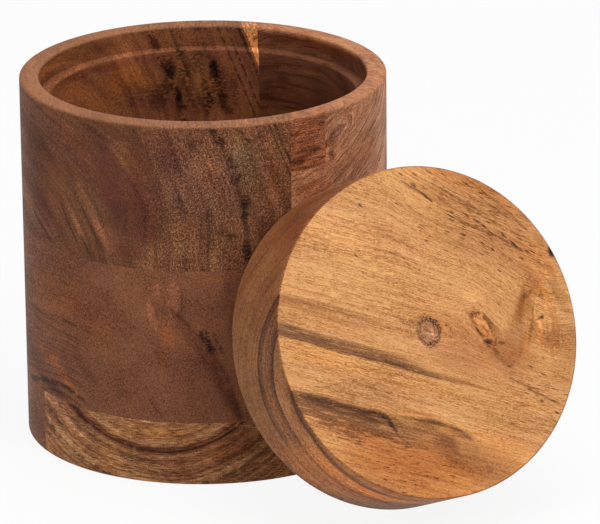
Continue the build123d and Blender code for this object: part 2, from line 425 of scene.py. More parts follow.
# upper left board: end grain at the front, with rings that lean in towards the right
upperLeftWood = {
    "colours": [tint(38, 19, 12), tint(74, 43, 29), tint(107, 67, 46), tint(142, 95, 65), tint(190, 140, 100)],
    "cool": (0.97, 0.90, 0.92, 1), "warm": (1.05, 1.02, 0.90, 1), "store": (1.33, 1.16, 0.97, 1), "smooth": (-4, -34),
    # on the walls inside, this board's colour is lifted: painted light, partly its own warmer wood
    "texture": [("bench", (60, 15, 15), 2, 0.4), ("rings", (60, 5.0, 9), 3, 0.4), ("rings", (40, 1.2, 9), 2, 0.3),
                ("bench", (3.0, 0.6, 0.6), 2, 1.1), ("bench", (1.6, 0.32, 0.32), 1, 1.4)],
    "waves": [((60, 16, 16), 4.0), ((22, 4, 4), 1.2)],
    "grainTurn": 95, "poreDrift": 1.0,
    "pores": [(3.2, 0.62, 0.5, 0.34), (2.6, 0.9, 0.2, 0.34)], "poreAmount": 0.75,
    "rough": 0.56, "gloss": 0.09, "relief": 0.6,
    "lines": [
        (7, 9.2, 0.8, 1.2, "dark", 0.6, 0.03, "front"), (28.3, 29.1, 0.3, 0.35, "deep", 0.7, 0.3, "front"),
        (26.6, 27.1, 0.25, 0.3, "dark", 0.9, 0.2, "front"), (24.8, 25.2, 0.3, 0.3, "brown", 0.8, 0.1, "front"),
        (-3.2, -0.6, 0.9, 0.9, "deep", 0.85, 0.02, "back"), (12.8, 15, 1.2, 1.2, "deep", 0.6, -0.03, "back"),
        (4.5, 6, 0.8, 0.9, "dark", 0.6, 0, "back"), (21, 28.2, 0.5, 0.4, "grey", 0.75, 0.3, "back"),
        (20.7, 21.6, 0.3, 0.5, "dark", 0.8, 0.1, "back"), (23.6, 24.3, 0.3, 0.4, "deep", 0.75, 0.1, "back"),
        (27.4, 28.6, 0.3, 0.3, "deep", 0.8, 0.2, "back"), (29.5, 60, 0.2, 1, "sap", 0.9, 0.2, "back"),
    ],
    "hatch": [(16, 30, 0.6, "brown", 0.6, "front"), (-12, 20, 0.8, "shade", 0.5, "front")],
    # angle, height, half length, half width, slope, colour, amount
    "outside": [
        (204, 98, 18, 24, 0, "dusk", 0.9), (208, 104, 22, 24, 0, "shade", 0.8), (230, 93, 30, 27, 0, "dim", 1),
        (228.8, 98, 10, 2.6, -55, "pale", 0.7), (222.8, 84, 12, 1, -58, "dark", 0.7),
        (215, 95, 20, 16, -30, "warm", 0.6), (226, 112, 14, 4.6, -34, "tan", 0.6),
        (212, 106, 15, 3.2, -38, "brown", 0.7), (235, 114, 10, 5, -40, "shade", 0.7),
        (207.5, 85, 12, 9.5, -30, "dusk", 0.9), (211, 84, 9, 8, -30, "purple", 0.9),
        (206.5, 79.6, 10, 1.3, -27, "deep", 0.75), (213, 75.8, 6, 1.6, -20, "dark", 0.8),
        (231, 91.5, 18, 3.6, -57, "pale", 0.95), (236.5, 82.5, 11, 2.8, -57, "pale", 0.8),
        (225.6, 85.5, 11, 1.7, -59, "pale", 1), (228.2, 81.5, 9, 2, -59, "pale", 0.85),
        (229.6, 78.5, 8, 0.8, -58, "deep", 0.7), (222.6, 88.5, 7, 0.6, -60, "pale", 0.6),
        (232.6, 84, 12, 1, -58, "dark", 0.5), (239, 84, 4, 2.4, -40, "light", 0.7),
        (227, 99, 14, 3.4, -44, "brown", 0.7), (241, 100, 24, 8, -72, "purple", 1),
        (252, 97, 29, 8, -77, "dusk", 1), (250, 92, 20, 6, -77, "purple", 0.9),
        (249, 118, 10, 7, -60, "shade", 0.7), (259.5, 112, 14, 4, -66, "purple", 0.7),
        (246, 78, 12, 4, -10, "purple", 0.7), (271.5, 104, 17, 9, -66, "light", 0.9),
        (270, 106, 12, 7, -66, "warm", 0.4), (264, 88, 10, 9, -60, "warm", 0.6),
        (267, 99, 9, 5, -70, "light", 0.5), (262, 80, 16, 5, 0, "light", 0.4),
        (283, 110, 14, 7.5, -74, "olive", 1), (281.5, 108, 14, 6, -74, "moss", 0.8),
        (290, 104, 26, 5, -80, "light", 0.6), (291, 106, 20, 2.4, -82, "warm", 0.7),
        (277, 112, 10, 1.6, -64, "shade", 0.7), (280.8, 99, 12, 1.8, -72, "shade", 0.8),
        (282.4, 84, 12, 2, 88, "shade", 0.8), (288, 84, 10, 3.6, -80, "dusk", 0.8),
        (295, 112, 10, 2.6, -78, "light", 0.6), (281.5, 92, 14, 1.6, -84, "dark", 0.4),
        (271.6, 97.4, 5.5, 0.5, 27, "dark", 0.7), (262, 95, 8, 4, -80, "shade", 0.6),
        (264, 97, 26, 30, 0, "slate", 0.8), (282, 102, 11, 26, 0, "slate", 0.8),
        (218, 119, 12, 4, -10, "rust", 0.4),
    ],
    "smudges": [
        (272.6, 119.6, 3.6, 2.4, -50, 0.9), (274.9, 116.4, 4.4, 2.6, -58, 0.95),
        (277.4, 110.2, 3.4, 2.4, -60, 0.8), (278.6, 107.8, 3, 1.2, -10, 0.8), (280.4, 103.4, 2.8, 2.2, 70, 0.9),
        (282.4, 95.6, 4.6, 3.2, 86, 1), (282, 91, 4.4, 2.2, 86, 0.9), (282.6, 78.5, 6.5, 2.9, 88, 1),
        (278, 84.4, 3.2, 2.6, 80, 0.85), (274.6, 87, 3.6, 3, 85, 0.6), (283.8, 116, 4, 1.6, -20, 0.9),
        (286.6, 117.2, 3, 1.4, -12, 0.7), (281.4, 118.8, 3, 1.4, -40, 0.6), (270.6, 91.6, 3.6, 1.6, 85, 0.6),
        (266.2, 115.6, 3, 2.2, 40, 0.6), (277.2, 100, 1.6, 1.2, 0, 0.6), (271.8, 105.4, 1.6, 1.2, 0, 0.6),
    ],
    "inside": [
        # the first mark, orange at 168 degrees and 118.4 high, is a painted highlight where light catches the ledge
        # and rebate wall
        (168, 118.4, 32, 3.6, 0, "orange", 0.9), (122, 106, 16, 9, 0, "gold", 0.8),
        (150, 104, 22, 12, 0, "warm", 0.6), (146, 112.2, 28, 2.4, 0, "purple", 1),
        (128, 111.5, 14, 2.6, 0, "dusk", 0.8), (128, 118, 13, 3.4, 0, "brown", 0.8),
        (111, 112, 6, 3.4, 0, "purple", 0.7), (102.5, 107, 3.8, 4.8, 0, "deep", 0.9),
        (99.4, 97, 9, 2, 88, "deep", 0.85), (85.6, 107.5, 6.4, 3, 84, "deep", 0.9),
        (82.5, 96, 6.4, 2.6, 80, "deep", 0.8), (94, 104, 15, 14, 0, "moss", 0.9),
        (92, 103, 9, 9, 0, "gold", 0.35), (98, 103, 16, 14, 0, "shade", 0.7), (108, 97, 7, 4, 60, "shade", 0.7),
        (160, 98, 20, 5, 0, "brown", 0.6),
    ],
    "storeSmudges": [
        (84, 102, 6, 14, 0, 0.9), (94, 108, 8, 7, 0, 0.7), (92, 95, 9, 6, 0, 0.7), (104, 110, 6, 6, 0, 0.75),
        (120, 100, 14, 8, 0, 0.5), (109, 98, 8, 8, 80, 0.7), (98.5, 113, 5, 4, 60, 0.9),
        (92, 112, 4, 3.4, 0, 0.8), (88, 95, 3, 8, 0, 0.8), (105, 101, 4, 8, 0, 0.8), (95, 99, 3, 6, 0, 0.6),
        (97, 104, 10, 3.4, 84, 0.7), (89, 100, 12, 3, 84, 0.8), (78, 100, 12, 3, 86, 0.7),
        (102.5, 107, 3.6, 4.6, 0, 0.9), (99.4, 97, 9, 2.2, 88, 0.9), (85.6, 107.5, 6.4, 3, 84, 0.9),
        (80, 93, 5, 4, 0, 0.7),
    ],
}


upperLeftRings = {"across": (0.996, 0.087), "leanFrom": -20.0, "leanTo": -60.0, "lean": 0.9, "leanHeight": 98.0,
                  "riseFrom": 92.0, "rise": 0.39}


def upperLeftRing(desk, place):
    # across the seam; the rings lean over above a height, and more towards the left
    r = upperLeftRings
    x, y, high = desk.split(place)
    across = desk.plus(desk.times(x, r["across"][0]), desk.times(y, r["across"][1]))
    lean = desk.remap(across, r["leanFrom"], r["leanTo"], 0.0, r["lean"])
    above = desk.times(desk.math("MAXIMUM", desk.math("SUBTRACT", high, r["riseFrom"]), 0.0), r["rise"])
    return desk.plus(desk.plus(across, above), desk.times(lean, desk.math("SUBTRACT", high, r["leanHeight"])))


# middle board: plain red-brown, rings about a heart low on the left
middleWood = {
    "colours": [tint(46, 24, 16), tint(86, 49, 34), tint(120, 75, 52), tint(146, 95, 68), tint(184, 129, 93)],
    "cool": (0.97, 0.95, 0.97, 1), "warm": (1.05, 1.02, 0.94, 1), "store": (0.9, 0.8, 0.7, 1),
    "texture": [("bench", (60, 16, 16), 2, 0.4), ("rings", (60, 6.0, 9), 2, 0.14), ("rings", (50, 1.1, 9), 2, 0.12),
                ("bench", (4.0, 0.55, 0.55), 2, 0.8), ("bench", (1.6, 0.32, 0.32), 1, 0.9)],
    "waves": [((60, 18, 18), 3.0), ((24, 5, 5), 1.0)],
    "grainTurn": 90, "poreDrift": 0.8,
    "pores": [(4.2, 0.6, 0.3, 0.32)], "poreAmount": 0.6,
    "rough": 0.56, "gloss": 0.09, "relief": 0.5,
    "lines": [
        (11.6, 13.4, 0.8, 0.8, "deep", 0.75, 0.14, "left"), (9.6, 10.2, 0.4, 0.4, "dark", 0.6, 0, "left"),
        (15.2, 15.9, 0.5, 0.5, "brown", 0.7, 0, "left"), (35, 36, 0.4, 0.6, "dark", 0.6, 0.1, "left"),
        (55, 59.6, 2, 1.4, "dusk", 0.7, 0.25, "right"), (58, 59, 0.6, 0.6, "dark", 0.5, 0.12, "right"),
    ],
    "hatch": [(16, 36, 0.55, "dark", 0.6, "left"), (18, 34, 1.6, "brown", 0.4, "left")],
    "outside": [
        (206, 36, 16, 6, -10, "warm", 0.7), (216, 32, 14, 3.6, -38, "orange", 0.85),
        (222, 28, 8, 2.2, -35, "gold", 0.6), (202, 30, 14, 3.4, -6, "grey", 0.5),
        (211, 24.6, 17, 2.6, -12, "dark", 0.8), (212, 56, 26, 14, -20, "warm", 0.9),
        (232, 58, 22, 14, -30, "red", 0.5), (232, 52, 20, 12, -30, "warm", 0.5),
        (228, 36, 14, 4, -42, "brown", 0.6), (242, 34, 20, 9, -35, "shade", 0.5),
        (253.8, 60, 13, 2.2, 88, "shade", 0.8), (253, 57, 9, 2.2, -78, "pale", 1),
        (254.5, 66, 6, 2.2, 80, "pale", 0.8), (259.5, 63, 13, 3.6, 88, "pale", 0.75),
        (257.5, 51.5, 8, 4, -70, "tan", 0.9), (264, 47, 5, 2.6, -50, "orange", 0.35),
        (256, 42, 9, 3, -55, "red", 0.6), (261.2, 57.8, 2.6, 0.7, 0, "brown", 0.6),
        (264, 54.6, 5.5, 0.9, -66, "brown", 0.6), (262.4, 63, 7, 0.6, 88, "brown", 0.8),
        (271.4, 39, 11, 3, -68, "dusk", 0.6), (275.6, 30, 8, 2.8, -60, "dark", 0.4),
        (279, 24.5, 5, 2.4, -45, "dark", 0.6), (254, 25.2, 6.5, 0.45, -50, "dark", 0.6),
        (246, 26, 7, 0.4, -50, "brown", 0.4), (276, 66, 12, 3, 84, "shade", 0.7),
        (278, 56, 14, 3, 86, "brown", 0.5), (262, 47, 26, 26, 0, "shade", 0.3),
        (271, 70, 10, 3, 0, "warm", 0.6),
    ],
    "smudges": [
        (269.2, 51, 4.4, 3, -60, 1), (270.4, 48.4, 3, 2, -70, 1), (271.2, 46.6, 3.8, 2.6, -50, 1),
        (274.2, 46.6, 4, 1.4, -60, 0.7), (272.6, 50.2, 3.6, 1.2, -70, 0.7), (273.5, 38, 9, 2.4, -66, 0.5),
        (277.6, 29, 7, 2.4, -60, 0.6),
    ],
}


def ringAbout(heart):
    # rings about a heart that lies level, from front to back: its place in x and its height
    def ringOf(desk, place):
        x, y, high = desk.split(place)
        return desk.away(desk.math("SUBTRACT", x, heart[0]), desk.math("SUBTRACT", high, heart[1]))
    return ringOf


middleHeart = (-48.0, 14.0)
lowerHeart = (-17.0, 54.6)


# lower boards: the right one is pale with a hanging growth ring, the left one plain
lowerRightWood = {
    "colours": [tint(62, 34, 20), tint(108, 67, 43), tint(152, 102, 68), tint(192, 139, 94), tint(232, 186, 134)],
    "cool": (0.95, 0.95, 0.97, 1), "warm": (1.06, 1.03, 0.94, 1), "store": (0.9, 0.8, 0.7, 1),
    "texture": [("bench", (50, 12, 12), 2, 0.6), ("rings", (50, 3.0, 9), 3, 0.8), ("rings", (30, 0.8, 9), 3, 0.7),
                ("bench", (1.8, 2.8, 0.4), 2, 1.15), ("bench", (1.4, 0.34, 0.32), 1, 0.8)],
    "waves": [((40, 14, 14), 2.2), ((14, 4, 4), 0.9)],
    "grainTurn": 72, "poreDrift": 1.0,
    "pores": [(2.0, 1.6, 0.3, 0.3), (3.0, 0.55, 0.45, 0.34)], "poreAmount": 0.85,
    "rough": 0.56, "gloss": 0.09, "relief": 0.6,
    "lines": [
        (43.2, 44.1, 0.3, 0.4, "deep", 0.9, 0.4, "all"), (42.2, 44.9, 0.6, 0.8, "russetLine", 0.8, 0.3, "all"),
        (46.6, 47, 0.25, 0.3, "brown", 0.6, 0.05, "all"),
        (50.4, 51.4, 0.5, 0.6, "russetLine", 0.7, 0.05, "all"),
        (55.4, 56.8, 0.5, 0.9, "deep", 0.75, 0.1, "all"), (48, 50, 0.8, 0.8, "light", 0.6, 0.2, "all"),
        (52, 54, 0.8, 0.8, "light", 0.5, 0.2, "all"), (59, 60.2, 0.5, 0.5, "brown", 0.6, 0, "all"),
    ],
    "hatch": [(36, 43, 0.8, "brown", 0.7, "all"), (44, 60, 1.1, "shade", 0.6, "all")],
    "outside": [
        (276, 12, 17, 6.5, 28, "russetLine", 0.9), (284, 13, 8, 7, 30, "brown", 0.9),
        (262, 8, 14, 3, 10, "red", 0.6), (224, 13, 16, 5, -42, "light", 0.9),
        (216, 18, 9, 3.4, -30, "pale", 0.5), (240, 5, 14, 3.4, -12, "light", 0.8),
        (206.5, 12, 3.4, 10, 0, "brown", 0.7), (212, 4.2, 10, 3.4, -14, "red", 0.7),
        (252, 17.5, 20, 4.4, 0, "gold", 0.7), (252, 14, 14, 2.4, 0, "light", 0.4),
    ],
}


lowerLeftWood = dict(middleWood)
lowerLeftWood.update({
    "lines": [], "hatch": [], "smudges": [], "pores": [(4.2, 0.6, 0.2, 0.3)],
    "outside": [(200, 6, 14, 4, -6, "brown", 0.4), (198, 14, 10, 8, 0, "shade", 0.7)],
})

# upper right board and the insert: grain from left to right
upperRightWood = {
    "colours": [tint(70, 38, 24), tint(118, 73, 50), tint(161, 109, 79), tint(190, 135, 100), tint(228, 176, 133)],
    # on the walls inside, this board's colour is darkened: painted shade, partly the board's own darker wood
    "cool": (0.95, 0.93, 0.94, 1), "warm": (1.06, 1.02, 0.94, 1), "store": (0.37, 0.29, 0.27, 1),
    "texture": [("bench", (60, 13, 13), 2, 0.6), ("rings", (60, 3.2, 9), 3, 0.6), ("rings", (26, 0.6, 9), 3, 0.66),
                ("rings", (3.0, 0.4, 3), 2, 1.2), ("bench", (1.4, 0.32, 0.32), 1, 1.2)],
    "waves": [((40, 12, 12), 3.4), ((16, 4, 4), 1.4)],
    "grainTurn": 4, "poreDrift": 1.0,
    "pores": [(4.2, 0.55, 0.4, 0.34)], "poreAmount": 0.8,
    "rough": 0.54, "gloss": 0.1, "relief": 0.6,
    "lines": [
        (13, 13.8, 0.4, 0.5, "shade", 0.8, 0.1, "front"), (17, 20.5, 0.9, 1.2, "dusk", 0.8, 0.1, "front"),
        (9.2, 9.8, 0.3, 0.4, "brown", 0.6, 0.1, "front"), (6, 6.5, 0.3, 0.3, "brown", 0.6, 0.1, "front"),
    ],
    "hatch": [(4, 26, 0.7, "brown", 0.45, "front")],
    "outside": [
        (313.4, 111, 4, 7, 0, "brown", 0.7), (312.8, 106.4, 2.6, 2.4, 0, "dark", 0.6),
        (316, 113.5, 4, 3, 40, "grey", 0.7), (306, 96, 14, 5, -4, "red", 0.9),
        (305, 97, 10, 5, 0, "brown", 0.5), (303, 88, 9, 6, 0, "red", 0.6), (324, 83, 14, 3.4, 24, "dusk", 0.9),
        (336, 92, 14, 8, 35, "tan", 0.7), (344, 112, 14, 12, 40, "light", 0.4),
        (330, 103, 12, 8, 30, "warm", 0.6), (311.4, 108, 5, 1.1, 88, "orange", 0.9),
    ],
    "smudges": [(313.2, 112, 3.6, 2.2, 80, 0.7), (312.8, 106.6, 2.4, 2, 0, 0.8)],
    "inside": [
        (40, 118.5, 34, 4.4, 0, "rust", 0.9), (58, 118.5, 14, 3.6, 0, "dusk", 0.8),
        (60, 118.6, 10, 3.4, 0, "brown", 0.9), (42, 118.8, 16, 3.4, 0, "dusk", 0.9),
        (26, 118.8, 14, 3.4, 0, "dusk", 0.8), (56, 119.2, 8, 0.6, 2, "dark", 0.8),
        (48, 117.4, 9, 0.6, -2, "dark", 0.8), (62, 104, 14, 12, 0, "brown", 0.5),
        (58, 106, 4, 2.2, 0, "dark", 0.6), (30, 100, 20, 16, 0, "shade", 0.5), (58, 98, 20, 1, 1, "dark", 0.7),
        (50, 108, 20, 0.8, -2, "dark", 0.6), (46, 104, 16, 0.7, 2, "dark", 0.6),
        (52, 111, 22, 3, 0, "warm", 0.6), (40, 96, 16, 4, 0, "dark", 0.5), (66, 99, 7, 0.7, 2, "dark", 0.7),
        (60, 102.5, 9, 0.6, -2, "dark", 0.7), (54, 96, 9, 0.6, 2, "dark", 0.6),
        (60, 92, 12, 0.8, 0, "dark", 0.6),
    ],
}
insertWood = dict(upperRightWood)
insertWood.update({
    "colours": [tint(62, 31, 19), tint(106, 60, 38), tint(146, 88, 58), tint(176, 113, 76), tint(208, 148, 102)],
    "lines": [
        (115.6, 116.2, 0.25, 0.3, "dark", 0.6, 0.1, "all"), (117.8, 118.3, 0.25, 0.3, "light", 0.6, 0.1, "all"),
        (109, 110.2, 0.5, 0.6, "dark", 0.6, 0.1, "all"),
    ],
    "hatch": [(104, 121, 0.5, "brown", 0.6, "all")],
    "smudges": [(305.5, 109.6, 4.6, 2, 8, 0.8), (300.5, 107, 5, 2.2, 10, 0.8)],
    "outside": [
        (304.5, 110, 7, 2.8, 6, "dark", 0.5), (300, 107, 7, 3.4, 10, "dark", 0.6),
        (303, 117, 9, 3.4, 0, "warm", 0.5), (309.7, 108, 5, 0.9, 88, "orange", 0.8),
        (302, 104.4, 7, 1.2, 0, "brown", 0.6),
    ],
    "inside": [], "waves": [((50, 14, 14), 1.6), ((18, 4, 4), 0.6)],
})


upperRightRings = {"spot": (41.0, -43.0, 112.0), "slant": 0.707, "tall": 0.9, "climb": 0.40, "long": 0.3}


def upperRightRing(desk, place):
    # arcs about a spot beside the insert, drawn out along the wall
    r = upperRightRings
    x, y, high = [desk.math("SUBTRACT", part, spot) for part, spot in zip(desk.split(place), r["spot"])]
    along = desk.times(desk.plus(x, y), r["slant"])
    rise = desk.math("SUBTRACT", desk.times(high, r["tall"]), desk.times(along, r["climb"]))
    return desk.away(rise, desk.times(along, r["long"]))


def insertRing(desk, place):
    return desk.split(place)[2]


def notch(bm, c):
    # makes room for the insert: scores the shell along the room's sides, lifts that part out and walls it again
    floorHeight = c["height"] - c["insertHeight"]
    side = seamPoint + seam * c["insertWidth"]
    for place, normal in (((0, 0, floorHeight), up), (side, seam)):
        bmesh.ops.bisect_plane(bm, geom=bm.verts[:] + bm.edges[:] + bm.faces[:], dist=cutTiny,
                               plane_co=place, plane_no=normal)

    def inRoom(face):
        middle = face.calc_center_median()
        return middle.z > floorHeight and middle.y < 0 and (middle - side).dot(seam) < 0

    bmesh.ops.delete(bm, geom=[f for f in bm.faces if inRoom(f)], context="FACES")
    rims = [e for e in bm.edges if e.is_boundary]
    corners = {v for e in rims for v in e.verts if near(v.co.z, floorHeight) and near((v.co - side).dot(seam), 0)}
    corners = sorted(corners, key=lambda v: v.co.y)
    corner = bm.edges.new((corners[0], corners[-1]))
    low = [e for e in rims if all(near(v.co.z, floorHeight) for v in e.verts)]
    tall = [e for e in rims if e not in low]
    for loop in (low + [corner], tall + [corner]):
        bmesh.ops.triangle_fill(bm, edges=loop, use_beauty=True, use_dissolve=False)


def makeBoard(name, node, cuts, material, notched=False):
    bm = whole.copy()
    for place, normal in cuts:
        cut(bm, place, normal)
    if notched:
        notch(bm, canister)
    finishPiece(bm, name, node, "canister", material)


def makeBoards(c):
    upper, lower = (0, 0, c["upperSeam"]), (0, 0, c["lowerSeam"])
    insertSide, insertFoot = seamPoint + seam * c["insertWidth"], (0, 0, c["height"] - c["insertHeight"])
    makeBoard("upperLeftBoard", "upper_left_board", [(seamPoint, seam), (upper, down)],
              boardMaterial("upperLeftWood", upperLeftWood, upperLeftRing))
    makeBoard("upperRightBoard", "upper_right_board", [(seamPoint, -seam), (upper, down)],
              boardMaterial("upperRightWood", upperRightWood, upperRightRing), True)
    makeBoard("upperFrontInsert", "upper_front_insert",
              [(seamPoint, -seam), (insertSide, seam), ((0, 0, 0), (0, 1, 0)), (insertFoot, down)],
              boardMaterial("insertWood", insertWood, insertRing))
    makeBoard("middleBoard", "middle_board", [(upper, up), (lower, down)],
              boardMaterial("middleWood", middleWood, ringAbout(middleHeart)))
    makeBoard("lowerRightBoard", "lower_right_board", [(lower, up), ((c["leftSeam"], 0, 0), (-1, 0, 0))],
              boardMaterial("lowerRightWood", lowerRightWood, ringAbout(lowerHeart)))
    makeBoard("lowerLeftBoard", "lower_left_board", [(lower, up), ((c["leftSeam"], 0, 0), (1, 0, 0))],
              boardMaterial("lowerLeftWood", lowerLeftWood, ringAbout(middleHeart)))


makeBoards(canister)
print("boards made")


